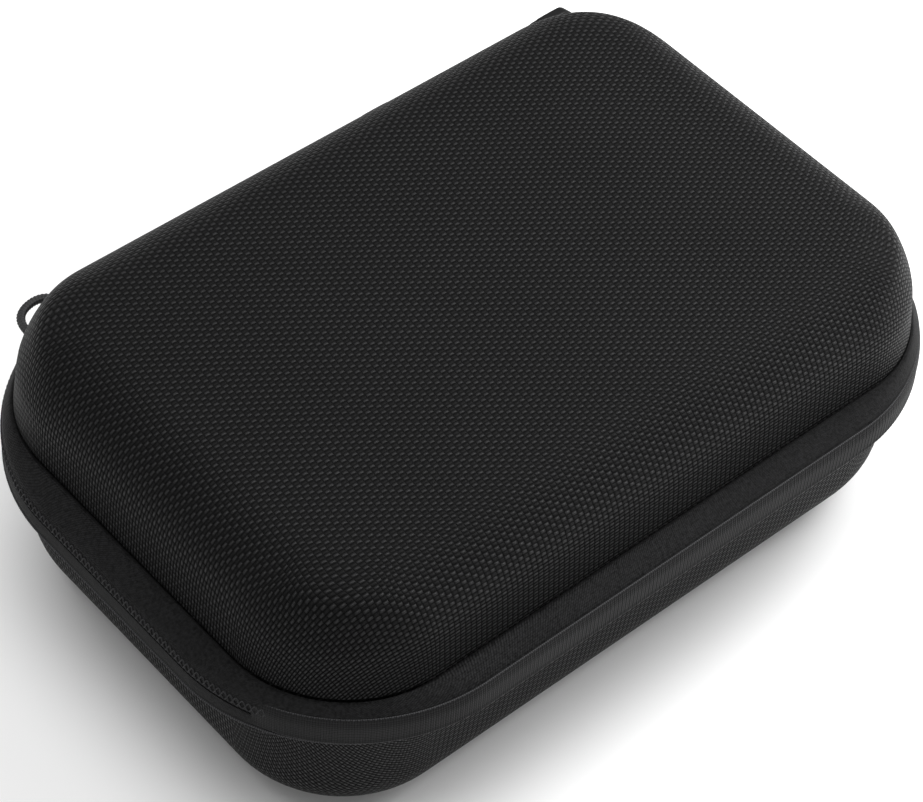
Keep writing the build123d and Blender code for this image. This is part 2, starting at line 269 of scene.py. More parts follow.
class Surface:
    """A material built as sums of nodes over one principled shader."""

    def __init__(self, name, roughness, **sockets):
        self.material = bpy.data.materials.new(name)
        self.material.use_nodes = True
        self.tree = self.material.node_tree
        self.shader = self.tree.nodes["Principled BSDF"]
        self.shader.inputs["Roughness"].default_value = roughness
        for socket, value in sockets.items():
            self.shader.inputs[socket.replace("_", " ")].default_value = value

    def put(self, socket, value):
        if hasattr(value, "links"):
            self.tree.links.new(value, socket)
        else:
            socket.default_value = value

    def math(self, operation, *values):
        node = self.tree.nodes.new("ShaderNodeMath")
        node.operation = operation
        for socket, value in zip(node.inputs, values):
            self.put(socket, value)
        return node.outputs[0]

    def cloth(self):
        """The two cloth coordinates, in millimetres."""
        node = self.tree.nodes.new("ShaderNodeUVMap")
        node.uv_map = "cloth"
        split = self.tree.nodes.new("ShaderNodeSeparateXYZ")
        self.tree.links.new(node.outputs[0], split.inputs[0])
        return split.outputs[0], split.outputs[1]

    def place(self):
        """The point in the object's own space, in millimetres."""
        node = self.tree.nodes.new("ShaderNodeTexCoord")
        scale = self.tree.nodes.new("ShaderNodeVectorMath")
        scale.operation = "SCALE"
        self.tree.links.new(node.outputs["Object"], scale.inputs[0])
        scale.inputs["Scale"].default_value = 1 / MM
        return scale.outputs[0]

    def steepness(self):
        """0 on the piece's level faces, 1 on its steep walls."""
        node = self.tree.nodes.new("ShaderNodeTexCoord")
        split = self.tree.nodes.new("ShaderNodeSeparateXYZ")
        self.tree.links.new(node.outputs["Normal"], split.inputs[0])
        level = self.math("ABSOLUTE", split.outputs[2])
        return self.math("SUBTRACT", 1.0, self.math("MINIMUM", self.math("MULTIPLY", level, 1.15), 1.0))

    def noise(self, grain, detail=2.0, at=None):
        """Noise with features about grain millimetres across."""
        node = self.tree.nodes.new("ShaderNodeTexNoise")
        self.tree.links.new(at or self.place(), node.inputs["Vector"])
        node.inputs["Scale"].default_value = 1 / grain
        node.inputs["Detail"].default_value = detail
        return node.outputs[0]

    def wave(self, value, pitch):
        """Sine of a length, changing sign at every pitch."""
        return self.math("SINE", self.math("MULTIPLY", value, math.pi / pitch))

    def power(self, value, exponent):
        return self.math("POWER", self.math("MAXIMUM", value, 0.0), exponent)

    def mix(self, factor, low, high):
        """Grey between two levels; the level's blue is a touch higher."""
        node = self.tree.nodes.new("ShaderNodeMix")
        node.data_type = "RGBA"
        self.put(node.inputs[0], factor)
        node.inputs[6].default_value = (*low, 1)
        node.inputs[7].default_value = (*high, 1)
        return node.outputs[2]

    def range(self, value, low, high):
        return self.math("ADD", low, self.math("MULTIPLY", value, high - low))

    def finish(self, colour, roughness, height, depth):
        """Wire colour, roughness and a bump of that many millimetres."""
        self.put(self.shader.inputs["Base Color"], colour)
        self.put(self.shader.inputs["Roughness"], roughness)
        bump = self.tree.nodes.new("ShaderNodeBump")
        bump.inputs["Strength"].default_value = 1.0
        bump.inputs["Distance"].default_value = depth * MM
        self.tree.links.new(height, bump.inputs["Height"])
        self.tree.links.new(bump.outputs[0], self.shader.inputs["Normal"])
        return self.material


def grey(level, tint=1.04):
    return (level, level, level * tint)


WARP_PITCH, ROW_PITCH = 1.56, 1.02


def ballistic_weave():
    """Coarse plain weave, 1.56 by 1.02 mm, whose warp and weft floats differ in height and shine; its colour holds
    painted glints on the warp crowns and, on the steep walls, on the weft crowns, and painted shade in the grooves
    between rows.
    """
    s = Surface("ballistic_weave", 0.42, Specular_IOR_Level=0.1)
    u, v = s.cloth()
    row = s.wave(v, ROW_PITCH)
    cell = s.math("MULTIPLY", s.wave(u, WARP_PITCH), row)
    wall = s.steepness()
    groove = s.power(s.math("ABSOLUTE", row), 0.8)
    groove = s.math("ADD", 1.0, s.math("MULTIPLY", s.math("SUBTRACT", groove, 1.0), s.range(wall, 0.35, 1.0)))
    warp = s.power(cell, 0.6)
    weft = s.power(s.math("MULTIPLY", cell, -1.0), 0.6)
    fibre = s.noise(0.35, 3.0)
    body = s.math("ADD", warp, s.math("MULTIPLY", weft, s.range(wall, 0.45, 0.75)))
    body = s.math("MULTIPLY", body, groove)
    height = s.math("ADD", body, s.math("MULTIPLY", fibre, 0.22))
    worn = s.noise(38.0, 2.0)
    # painted glint: on the steep walls the weft floats are drawn lighter
    wall_weft_glint = s.math("MULTIPLY", s.math("MULTIPLY", weft, wall), 0.35)
    # painted glint: the warp crowns are drawn far lighter than the weft
    tone = s.math("MULTIPLY", s.math("ADD", s.range(warp, 0.14, 0.95), wall_weft_glint), s.range(worn, 0.72, 1.22))
    # painted shade: the colour darkens in the grooves between rows, to near black on the walls
    tone = s.math("MULTIPLY", tone, s.range(groove, 0.05, 1.0))
    colour = s.mix(tone, grey(0.0004), grey(0.0165))
    shine = s.math("ADD", s.math("MULTIPLY", body, s.range(wall, 0.095, 0.27)), s.range(wall, 0.065, 0.012))
    shine = s.math("MULTIPLY", shine, s.range(groove, 0.25, 1.0))
    s.put(s.shader.inputs["Specular IOR Level"], shine)
    rough = s.math("ADD", s.range(warp, 0.52, 0.4), s.math("MULTIPLY", fibre, 0.08))
    return s.finish(colour, rough, height, 0.38)


def fine_tape(name, low, high, rough, pitch, depth):
    """Smooth tape in fine slanting twill."""
    s = Surface(name, rough, Specular_IOR_Level=0.1, Sheen_Weight=0.01, Sheen_Roughness=0.35)
    u, v = s.cloth()
    twill = s.wave(s.math("ADD", u, s.math("MULTIPLY", v, 1.6)), pitch)
    thread = s.wave(v, pitch * 0.7)
    height = s.math("ADD", s.math("MULTIPLY", twill, 0.5), s.math("MULTIPLY", thread, 0.3))
    fibre = s.noise(0.8, 4.0)
    height = s.math("ADD", height, s.math("MULTIPLY", fibre, 3.0))
    tone = s.math("MULTIPLY", s.range(twill, 0.4, 0.6), s.range(s.noise(16.0), 0.7, 1.3))
    tone = s.math("MULTIPLY", tone, s.range(fibre, -1.6, 3.9))
    return s.finish(s.mix(tone, grey(low), grey(high)), s.range(fibre, rough - 0.06, rough + 0.08), height, depth)


def ribbed(name, low, high, rough, pitch, depth):
    """Grosgrain with ribs across its length."""
    s = Surface(name, rough, Specular_IOR_Level=0.1, Sheen_Weight=0.01, Sheen_Roughness=0.4)
    u, v = s.cloth()
    rib = s.math("ABSOLUTE", s.wave(u, pitch))
    thread = s.wave(v, 0.32)
    fibre = s.noise(0.4, 3.0)
    height = s.math("ADD", rib, s.math("ADD", s.math("MULTIPLY", thread, 0.25), s.math("MULTIPLY", fibre, 0.4)))
    tone = s.math("MULTIPLY", rib, s.range(s.noise(12.0), 0.7, 1.3))
    return s.finish(s.mix(tone, grey(low), grey(high)), s.range(fibre, rough - 0.05, rough + 0.1), height, depth)


def brushed(name, low, high, grain):
    """Short brushed pile."""
    s = Surface(name, 0.85, Specular_IOR_Level=0.25, Sheen_Weight=0.08, Sheen_Roughness=0.5)
    pile = s.noise(grain, 4.0)
    nap = s.noise(9.0, 2.0)
    tone = s.math("MULTIPLY", pile, s.range(nap, 0.5, 1.6))
    return s.finish(s.mix(tone, grey(low), grey(high)), s.range(pile, 0.78, 0.95), pile, 0.18)


def foam_skin():
    """Die-cut closed-cell foam: fine open cells in a matt face."""
    s = Surface("closed_cell_foam", 0.9, Specular_IOR_Level=0.25)
    cells = s.tree.nodes.new("ShaderNodeTexVoronoi")
    s.tree.links.new(s.place(), cells.inputs["Vector"])
    cells.inputs["Scale"].default_value = 1.4
    pits = s.math("MINIMUM", s.math("MULTIPLY", cells.outputs[0], 1.6), 1.0)
    fine = s.noise(0.6, 3.0)
    height = s.math("ADD", pits, s.math("MULTIPLY", fine, 0.6))
    tone = s.math("MULTIPLY", s.range(pits, 0.35, 0.7), s.range(s.noise(25.0), 0.7, 1.3))
    return s.finish(s.mix(tone, grey(0.022), grey(0.06)), s.range(fine, 0.82, 0.97), height, 0.16)


def coil_nylon():
    """Extruded nylon monofilament, satin, scuffed along its crowns."""
    s = Surface("zip_coil_nylon", 0.42, Specular_IOR_Level=0.3)
    scuff = s.noise(1.1, 3.0)
    fine = s.noise(0.25, 2.0)
    colour = s.mix(s.math("MULTIPLY", scuff, 1.1), grey(0.005), grey(0.022))
    return s.finish(colour, s.range(scuff, 0.34, 0.56), fine, 0.03)


def enamel():
    """Black enamel over die-cast zinc, with a fine orange peel and random worn patches."""
    s = Surface("slider_enamel", 0.32, Metallic=0.35, Coat_Weight=0.4, Coat_Roughness=0.2)
    peel = s.noise(0.8, 2.0)
    wear = s.noise(2.6, 4.0)
    colour = s.mix(s.power(wear, 3.0), grey(0.018), grey(0.09))
    return s.finish(colour, s.range(wear, 0.24, 0.46), peel, 0.03)


def moulded_rubber():
    """Soft moulded rubber with a fine matt texture."""
    s = Surface("pull_rubber", 0.55, Specular_IOR_Level=0.18)
    grain = s.noise(0.28, 3.0)
    bloom = s.noise(5.0, 2.0)
    colour = s.mix(bloom, grey(0.002), grey(0.007))
    return s.finish(colour, s.range(bloom, 0.42, 0.58), grain, 0.03)


def braid_cord():
    """Braided polyester: strand sheen over fine fibres."""
    s = Surface("loop_braid", 0.5, Specular_IOR_Level=0.35, Sheen_Weight=0.05, Sheen_Roughness=0.35)
    u, v = s.cloth()
    strand = s.wave(s.math("ADD", u, v), 0.21)
    fibre = s.noise(0.2, 2.0)
    height = s.math("ADD", s.math("MULTIPLY", strand, 0.4), fibre)
    tone = s.math("MULTIPLY", s.range(strand, 0.4, 0.8), s.range(s.noise(1.2), 0.6, 1.4))
    return s.finish(s.mix(tone, grey(0.008), grey(0.038)), s.range(fibre, 0.42, 0.6), height, 0.05)


def net_yarn():
    """Knitted yarn of the net."""
    s = Surface("net_yarn", 0.6, Specular_IOR_Level=0.4, Sheen_Weight=0.2)
    fibre = s.noise(0.3, 3.0)
    tone = s.math("MULTIPLY", fibre, s.range(s.noise(7.0), 0.7, 1.4))
    return s.finish(s.mix(tone, grey(0.018), grey(0.06)), s.range(fibre, 0.5, 0.72), fibre, 0.08)


WEAVE = ballistic_weave()
TAPE = fine_tape("zip_tape_twill", 0.002, 0.015, 0.6, 0.42, 0.09)
# painted highlight: the edge cords are a lighter grey than the strip's grosgrain, drawing the bright lines along the
# band's edges
EDGE = ribbed("edge_cord_painted_highlight", 0.01, 0.055, 0.55, 0.55, 0.08)
STRIP = ribbed("hinge_grosgrain", 0.003, 0.012, 0.55, 0.62, 0.08)
BINDING_CLOTH = ribbed("binding_grosgrain", 0.01, 0.034, 0.6, 0.5, 0.08)
ELASTIC_CLOTH = ribbed("elastic_rib", 0.012, 0.04, 0.6, 0.45, 0.1)
PILE = brushed("brushed_lining", 0.016, 0.055, 0.55)
FOAM = foam_skin()
NYLON = coil_nylon()
METAL = enamel()
RUBBER = moulded_rubber()
BRAID = braid_cord()
THREAD = ribbed("stitch_thread", 0.008, 0.035, 0.5, 0.3, 0.05)
YARN = net_yarn()

# ---------------------------------------------------------------- moulded halves


class Half:
    """Profile of a moulded half: wall with draft, shoulder arc, and a slow crown up to the spine."""

    def __init__(self, side, draft, wall, radius, slope, corner):
        self.side, self.draft, self.wall, self.radius = side, math.radians(draft), wall, radius
        self.slope, self.corner = slope, corner

    def levels(self, skin, steps=(6, 16, 14)):
        """(inset, corner, rise) from the crease to the spine, skin mm inside the outer face."""
        sine, cosine = math.sin(self.draft), math.cos(self.draft)
        first = CREASE_INSET + skin / cosine
        profile = [(first + self.wall * i / steps[0] * sine, CREASE_RISE + self.wall * i / steps[0] * cosine)
                   for i in range(steps[0])]
        centre_inset = CREASE_INSET + self.wall * sine + self.radius * cosine
        centre_rise = CREASE_RISE + self.wall * cosine - self.radius * sine
        shoulder = math.pi / 2 - math.atan(self.slope) - self.draft
        for i in range(steps[1] + 1):
            turn = self.draft + shoulder * i / steps[1]
            profile.append((centre_inset - (self.radius - skin) * math.cos(turn),
                            centre_rise + (self.radius - skin) * math.sin(turn)))
        edge_inset, edge_rise = profile[-1]
        run = SPINE_INSET - edge_inset
        for i in range(1, steps[2] + 1):
            part = i / steps[2]
            profile.append((edge_inset + run * part, edge_rise + self.slope * run * part * (1 - part / 2)))
        self.crown = steps[0] + steps[1]
        return [(inset, self.corner(inset), self.side * rise) for inset, rise in profile]

    def throat(self, skin):
        """Level of the straight lip, skin mm inside the wall at the crease."""
        inset = CREASE_INSET + skin / math.cos(self.draft)
        return (inset, self.corner(inset), self.side * LIP_RISE)


def lid_corner(inset):
    """Plan corner radius of the lid: the corner tightens over the shoulder."""
    run = inset - CREASE_INSET
    part = min(max((run - 1) / 11, 0), 1)
    return max(CREASE_CORNER - 0.25 * run - 13 * part * part * (3 - 2 * part), 1.2)


def base_corner(inset):
    return max(CREASE_CORNER - 0.57 * (inset - CREASE_INSET), 1.2)


LID = Half(1, 5.0, 9.7, 20.0, 0.05, lid_corner)
BASE = Half(-1, 5.0, 22.0, 21.0, 0.0, base_corner)


def moulded_cloth(half, levels, skew):
    """Cloth coordinates of cloth laid flat on a half's face and drawn down its sides.

    Down a side the cloth follows that side's path; down a corner it follows the corner's own, longer path.
    skew is the cloth's lean on the face.
    """
    top = half.crown
    inset, corner, _ = levels[top]
    top_x, top_y = LENGTH / 2 - inset - corner, WIDTH / 2 - inset - corner
    side_path, corner_path = [0.0], [0.0]
    for (a, near, low), (b, far, high) in zip(levels[top::-1], levels[top - 1 :: -1]):
        side_path.append(side_path[-1] + math.hypot(b - a, high - low))
        along = math.sqrt(2) * (a + near - b - far) - near + far
        corner_path.append(corner_path[-1] + math.hypot(along, high - low))
    out = []
    c, s = PLAN[:, 2], PLAN[:, 3]
    for row, (level_inset, level_corner, _) in enumerate(levels):
        if row >= top:
            flat = ring(level_inset, level_corner)
        else:
            level_x = LENGTH / 2 - level_inset - level_corner
            level_y = WIDTH / 2 - level_inset - level_corner
            turned = (2 * c * s) ** 2
            diagonal = corner_path[top - row] - (level_x - top_x) / math.sqrt(2)
            down = corner + side_path[top - row] * (1 - turned) + diagonal * turned
            flat = np.column_stack([
                PLAN[:, 0] * (top_x + (level_x - top_x) * s * s) + down * c,
                PLAN[:, 1] * (level_y + (top_y - level_y) * s * s) + down * s,
            ])
        lean = np.column_stack([
            flat[:, 0] - skew[0] * np.clip(flat[:, 1], -50, 50),
            flat[:, 1] + skew[1] * np.clip(flat[:, 0], -85, 85),
        ])
        out.append(np.vstack([lean, lean[:1]]))
    return out


for half, body, skew in ((LID, "lid", (0.12, 0.045)), (BASE, "base", (0.0, 0.0))):
    outer, inner = half.levels(0), half.levels(SHELL)
    folds = ((0.75, 5.9), (0.5, 6.6), (0.15, 7.2))
    tuck = [(CREASE_INSET + deep, half.corner(CREASE_INSET + deep), half.side * rise) for deep, rise in folds]
    lip_out = [*tuck[::-1], (4.6, 38.5, half.side * 4.3), (3.2, 42.5, half.side * LIP_RISE)]
    lip_in = [half.throat(SHELL)]
    chain = inner[::-1] + lip_in + lip_out[::-1] + outer
    outer_cloth = moulded_cloth(half, outer, skew)
    plain = [np.vstack([ring(i, c), ring(i, c)[:1]]) for i, c, _ in chain[: len(chain) - len(outer)]]
    cover = rings(f"{body}_moulded_cover", chain, capped=True, cloth=plain + outer_cloth)
    dress(cover, WEAVE, body, "ballistic_weave", f"{body}_shell")

    outer, inner = half.levels(SHELL + 0.02), half.levels(SHELL + LINING)
    chain = inner[::-1] + [half.throat(SHELL + LINING), half.throat(SHELL + 0.02)] + outer
    plain = [np.vstack([ring(i, c), ring(i, c)[:1]]) for i, c, _ in chain]
    lining = rings(f"{body}_brushed_lining", chain, capped=True, cloth=plain)
    dress(lining, PILE, body, "lining", f"{body}_lining")

    skin = SHELL + LINING
    inset = CREASE_INSET + skin / math.cos(half.draft)
    section = [(0.03, LIP_RISE), (0.5, LIP_RISE - 0.15), (0.85, LIP_RISE + 0.2), (0.95, LIP_RISE + 1.2),
               (0.95, 6.4), (0.8, 7.3),
               (0.4, CREASE_RISE), (0.03, CREASE_RISE)]
    levels = [(inset + deep, half.corner(inset + deep), half.side * rise) for deep, rise in section]
    binding = rings(f"{body}_lip_binding", levels, closed=True)
    dress(binding, BINDING_CLOTH, body, "binding", f"{body}_seam_binding")

# ---------------------------------------------------------------- zip band

SPLIT = -1.3


def tape_corner(inset):
    return BAND_CORNER - (BAND_CORNER - CREASE_CORNER) / CREASE_INSET * inset


LID_TAPE = [(7.2, 6.15), (6.8, 6.45), (6.2, 6.85), (5.2, 6.75), (4.2, 6.3), (3.0, 5.5), (1.9, 4.65),
            (1.0, 3.8), (0.45, 3.0), (0.15, 2.0),
            (0.02, 1.0), (0.0, 0.0), (0.05, SPLIT + 0.35), (0.3, SPLIT + 0.2), (0.8, SPLIT + 0.2),
            (0.95, SPLIT + 0.6), (0.95, 1.0),
            (1.3, 2.4), (2.0, 3.5), (3.1, 4.4), (4.6, 5.3), (7.2, 5.5)]
BASE_TAPE = [(6.95, -8.3), (4.6, -8.0), (2.4, -7.5), (1.0, -6.95), (0.3, -6.5), (0.05, -6.2), (-0.1, -5.5),
             (-0.15, -4.2), (-0.1, -3.0),
             (-0.02, -2.2), (0.05, SPLIT - 0.35), (0.3, SPLIT - 0.2), (0.8, SPLIT - 0.2), (0.95, SPLIT - 0.6),
             (1.1, -2.6), (1.6, -4.6), (3.0, -6.2), (6.95, -7.2)]

def raise_hinge_side(piece):
    """The band's lower edge runs higher along the hinge than along the zip."""
    for vertex in piece.data.vertices:
        round_it = min(max((vertex.co.y / MM - 30) / 40, 0), 1)
        depth = min(max((SEAM - vertex.co.z / MM - 2.2) / 2, 0), 1)
        vertex.co.z += 1.7 * MM * round_it * round_it * (3 - 2 * round_it) * depth


for body, profile in (("lid", LID_TAPE), ("base", BASE_TAPE)):
    levels = [(inset, tape_corner(max(inset, 0)) - min(inset, 0), rise) for inset, rise in profile]
    tape = rings(f"{body}_band_tape", levels, closed=True, sharp=40)
    raise_hinge_side(tape)
    dress(tape, TAPE, body, "zip_tape", f"{body}_zip_tape")


def bead(centre_inset, centre_rise, radius, sides=8):
    """Round section of a piping cord, as (inset, rise)."""
    return [(centre_inset + radius * math.cos(2 * math.pi * i / sides),
             centre_rise + radius * math.sin(2 * math.pi * i / sides))
            for i in range(sides)]


levels = [(i, tape_corner(max(i, 0)) - min(i, 0), r) for i, r in bead(0.0, -6.3, 0.34)]
edge = rings("base_lower_edge_piping", levels, closed=True, sharp=80)
raise_hinge_side(edge)
# the lower piping takes the lighter edge grey: painted highlight along the band's lower edge
dress(edge, EDGE, "base", "zip_tape")

CHAIN_TRACK = Track(2.0, BAND_CORNER - 2.0)
ZIP_START_TURN, ZIP_END_TURN = 60, 30
ZIP_START = CHAIN_TRACK.corner_at(1, ZIP_START_TURN)
ZIP_END = CHAIN_TRACK.corner_at(4, ZIP_END_TURN)
COIL_PITCH = 1.6


def coil_line(centre_rise, phase, high, deep, per_turn=12):
    """Helix of the zip's coil along the track."""
    turns = int((ZIP_END - ZIP_START) / COIL_PITCH)
    turn = 2 * np.pi * np.arange(turns * per_turn + 1) / per_turn
    distance = ZIP_START + COIL_PITCH * (turn / (2 * np.pi)) + 0.2 * COIL_PITCH * np.sin(turn + phase)
    plan, out = CHAIN_TRACK.at(distance)
    plan = plan + out * (deep * np.sin(turn + phase))[:, None]
    return np.column_stack([plan, SEAM + centre_rise + high * np.cos(turn + phase)])


for body, rise, phase in (("lid", 1.12, 0.0), ("base", -1.12, math.pi)):
    coil = tube(f"{body}_coil_teeth", coil_line(rise, phase, 0.92, 0.42), 0.36, 7)
    dress(coil, NYLON, body, "zip_coil", f"{body}_zip_coil")

# ---------------------------------------------------------------- coil stitching

STITCH_TRACK = Track(0, BAND_CORNER)
STITCH = 1.62


def stitch_line(phase):
    """Thread that waves up and down the upper tape where it holds the coil."""
    start = STITCH_TRACK.corner_at(1, ZIP_START_TURN + 2)
    end = STITCH_TRACK.corner_at(4, ZIP_END_TURN - 2)
    turns = int((end - start) / (2 * STITCH))
    turn = 2 * np.pi * np.arange(turns * 10 + 1) / 10
    plan, out = STITCH_TRACK.at(start + turn / np.pi * STITCH)
    wave = np.sin(turn + phase)
    plan = plan + out * (0.1 - 0.16 * np.maximum(wave, 0))[:, None]
    return np.column_stack([plan, SEAM + 0.85 + 1.25 * wave])


for number, phase in enumerate((0.0, math.pi)):
    thread = tube(f"coil_stitch_thread_{number + 1}", stitch_line(phase), 0.2, 6)
    dress(thread, THREAD, "lid", "zip_tape")

# ---------------------------------------------------------------- hinge strip

HINGE_TRACK = Track(0, BAND_CORNER)
HINGE_TURN, BEND_TURN = 66, 13
HINGE_REACH = HINGE_TRACK.corner_at(1, HINGE_TURN)
BEND_REACH = HINGE_TRACK.corner_at(1, BEND_TURN)
STRIP_TOP, STRIP_BOTTOM = 3.6, -4.4
STRIP_ROLL = 0.3
STRIP_STEP = 0.3125


def strip_end(distance):
    """Share of its thickness that the strip has left near its two ends."""
    return min((HINGE_REACH - abs(distance)) / 9 + 0.12, 1)


def drawn_in(out, rise):
    """Follow the upper tape's curve inwards."""
    return (out - max(rise - 0.5, 0) ** 2 * 0.075, rise)


def strip_section(top, bottom):
    """Section of the strip between two rises: a ribbed face with a rolled edge where the strip itself ends."""
    rises = np.linspace(top, bottom, int((top - bottom) / 0.35))

    def section(distance):
        rib = 0.09 * abs(math.sin(math.pi * distance / 1.25))
        shape = []
        for rise in rises:
            roll = math.exp(-(((rise - STRIP_TOP + STRIP_ROLL) / STRIP_ROLL) ** 2))
            roll += math.exp(-(((rise - STRIP_BOTTOM - STRIP_ROLL) / STRIP_ROLL) ** 2))
            shape.append(drawn_in((0.36 + rib * (1 - roll) + 0.2 * roll) * strip_end(distance), rise))
        return shape + [drawn_in(0.03, rise) for rise in rises[::-1]]

    return section


def strip_edge(distance):
    """Stitched cord along the strip's upper edge."""
    return [drawn_in(out * strip_end(distance), rise) for out, rise in bead(0.3, 3.5, 0.2)]


STRIP_PIECES = (
    ("middle", None, -BEND_REACH, BEND_REACH, STRIP_TOP, STRIP_BOTTOM),
    ("left_upper", "lid", -HINGE_REACH, -BEND_REACH, STRIP_TOP, SPLIT + 0.01),
    ("left_lower", "base", -HINGE_REACH, -BEND_REACH, SPLIT - 0.01, STRIP_BOTTOM),
    ("right_upper", "lid", BEND_REACH, HINGE_REACH, STRIP_TOP, SPLIT + 0.01),
    ("right_lower", "base", BEND_REACH, HINGE_REACH, SPLIT - 0.01, STRIP_BOTTOM),
)
for name, body, start, end, top, bottom in STRIP_PIECES:
    strip = sweep(f"hinge_strip_{name}", HINGE_TRACK, start, end, STRIP_STEP, strip_section(top, bottom))
    dress(strip, STRIP, body, "hinge_webbing", *(() if body else ("hinge_webbing",)))
    pieces = [strip]
    if body != "base":
        cord = sweep(f"hinge_strip_{name}_edge_cord", HINGE_TRACK, start, end, 0.9, strip_edge, sharp=80)
        # the upper cord takes the lighter edge grey: painted highlight along the strip's upper edge
        dress(cord, EDGE, body, "hinge_webbing")
        pieces.append(cord)
    for piece in () if body else pieces:
        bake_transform(piece)

# ---------------------------------------------------------------- foam insert

foam = softened("foam_insert_cut", "foam_insert", 1.4, 6)
dress(foam, FOAM, "base", "foam", "foam_insert")

# ---------------------------------------------------------------- net pocket

net_low, net_high = (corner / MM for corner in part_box("mesh_pocket"))
NET_INSET = LENGTH / 2 - net_high.x
NET_CORNER = CREASE_CORNER - 0.57 * (NET_INSET - CREASE_INSET)
NET_RISE = (net_low.z + net_high.z) / 2 - SEAM
NET_FRONT = net_low.y
MESH = 2.5


def inside_net(x, y, margin):
    """Whether a plan point is inside the net's outline, margin mm from its edge."""
    half_x, half_y = net_high.x - NET_CORNER, net_high.y - NET_CORNER
    over = math.hypot(max(abs(x) - half_x, 0), max(abs(y) - half_y, 0))
    return over < NET_CORNER - margin and y > NET_FRONT + margin * 0.5


def net_sag(x, y):
    """The net bows a little way into the lid's hollow."""
    return -1.1 * max(1 - (x / 95) ** 2, 0) * max(1 - ((y - 8) / 60) ** 2, 0)


def net_mesh():
    """Diamond net of single yarns."""
    work = bmesh.new()
    reach = int((net_high.x + net_high.y) / MESH * 1.5)
    corners = {}

    def knot(i, j):
        if (i, j) not in corners:
            x, y = (i - j) * MESH / math.sqrt(2), (i + j) * MESH / math.sqrt(2)
            corners[i, j] = work.verts.new(Vector((x, y, SEAM + NET_RISE + net_sag(x, y))) * MM)
        return corners[i, j]

    for i in range(-reach, reach):
        for j in range(-reach, reach):
            x, y = (i - j) * MESH / math.sqrt(2), (i + j + 1) * MESH / math.sqrt(2)
            if inside_net(x, y, 2.0):
                work.faces.new([knot(i, j), knot(i + 1, j), knot(i + 1, j + 1), knot(i, j + 1)])
    bmesh.ops.recalc_face_normals(work, faces=work.faces)
    mesh = bpy.data.meshes.new("net")
    work.to_mesh(mesh)
    work.free()
    return mesh


net = bpy.data.objects.new("lid_net", net_mesh())
bpy.context.scene.collection.objects.link(net)
wire = net.modifiers.new("yarn", "WIREFRAME")
wire.thickness = 0.55 * MM
wire.use_even_offset = False
net.data = bpy.data.meshes.new_from_object(net.evaluated_get(bpy.context.evaluated_depsgraph_get()))
net.modifiers.clear()
net.data.shade_smooth()
dress(net, YARN, "lid", "net", "mesh_pocket")

POCKET_TRACK = Track(NET_INSET, NET_CORNER)
front_over = math.asin(min(max((-NET_FRONT - POCKET_TRACK.half_y) / NET_CORNER, 0), 1))
pocket_reach = POCKET_TRACK.ends[3] + NET_CORNER * front_over


def pocket_section(distance):
    """Folded tape over the net's edge, with a slight pucker at each stitch."""
    pucker = 0.08 * math.sin(2 * math.pi * distance / 2.6)
    low, high = NET_RISE - 0.95 - pucker, NET_RISE + 0.95 + pucker
    return [(-0.25, low + 0.15), (-0.05, NET_RISE), (-0.25, high - 0.15), (-1.0, high), (-3.0, high + 0.08),
            (-5.2, high), (-5.9, high - 0.2),
            (-6.05, NET_RISE), (-5.9, low + 0.2), (-5.2, low), (-3.0, low - 0.08), (-1.0, low)]


pocket_edge = sweep("pocket_edge_tape", POCKET_TRACK, -pocket_reach, pocket_reach, 0.65, pocket_section)
dress(pocket_edge, BINDING_CLOTH, "lid", "binding", "pocket_binding")


def gathered_elastic():
    """Folded elastic over the net's free edge, gathered into small even puckers."""
    low, high = (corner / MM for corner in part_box("pocket_elastic"))
    columns = int((high.x - low.x) / 0.5)
    sides = 16
    middle_y, middle_z = (low.y + high.y) / 2, (low.z + high.z) / 2
    points, faces, uvs = [], [], []
    for column in range(columns + 1):
        x = low.x + (high.x - low.x) * column / columns
        swell = 1 + 0.14 * math.sin(2 * math.pi * x / 3.4) + 0.04 * math.sin(2 * math.pi * x / 9.1)
        for side in range(sides):
            turn = 2 * math.pi * side / sides
            across = math.copysign(abs(math.cos(turn)) ** 0.55, math.cos(turn)) * (high.y - low.y) / 2
            up = math.copysign(abs(math.sin(turn)) ** 0.75, math.sin(turn)) * (high.z - low.z) / 2 * swell
            points.append((x, middle_y + across, middle_z + up + net_sag(x, middle_y)))
    for column in range(columns):
        for side in range(sides):
            after = (side + 1) % sides
            a, b = column * sides, (column + 1) * sides
            faces.append((a + side, a + after, b + after, b + side))
            x0, x1 = 0.5 * column, 0.5 * (column + 1)
            uvs += [(x0, side), (x0, side + 1), (x1, side + 1), (x1, side)]
    for end in (0, columns):
        faces.append(tuple(end * sides + side for side in range(sides)))
        uvs += [(0, side) for side in range(sides)]
    return made("pocket_gathered_elastic", points, faces, uvs)


elastic = gathered_elastic()
dress(elastic, ELASTIC_CLOTH, "lid", "elastic", "pocket_elastic")

# ---------------------------------------------------------------- sliders, links and tabs

for node in ("slider_a_body", "slider_b_body", "pull_a_link", "pull_b_link"):
    for slot in frame["nodes"][node].material_slots:
        slot.material = METAL

for name in ("pull_a", "pull_b"):
    tab = softened(f"{name}_rubber_tab", f"{name}_tab", 0.28, 4)
    middle = (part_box(f"{name}_tab")[0].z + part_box(f"{name}_tab")[1].z) / 2
    for vertex in tab.data.vertices:
        across = (vertex.co.z - middle) / MM
        if abs(vertex.normal.z) < 0.4 and abs(across) < 3.6:
            vertex.co -= vertex.normal * 0.11 * MM * (0.5 + 0.5 * math.cos(2 * math.pi * across / 1.2))
    dress(tab, RUBBER, name, "pull_rubber", f"{name}_tab")

# ---------------------------------------------------------------- corner loop

LOOP_ANGLE, LOOP_RISE, CORD = -80.0, -2.2, 2.3
LOOP_ROUTE = [(-6.4, -0.9), (-7.2, 4.4), (-3.9, 10.8), (4.3, 11.1), (7.5, 4.5), (6.5, -0.9)]


def heading(degrees):
    return np.array([math.cos(math.radians(degrees)), math.sin(math.radians(degrees)), 0.0])


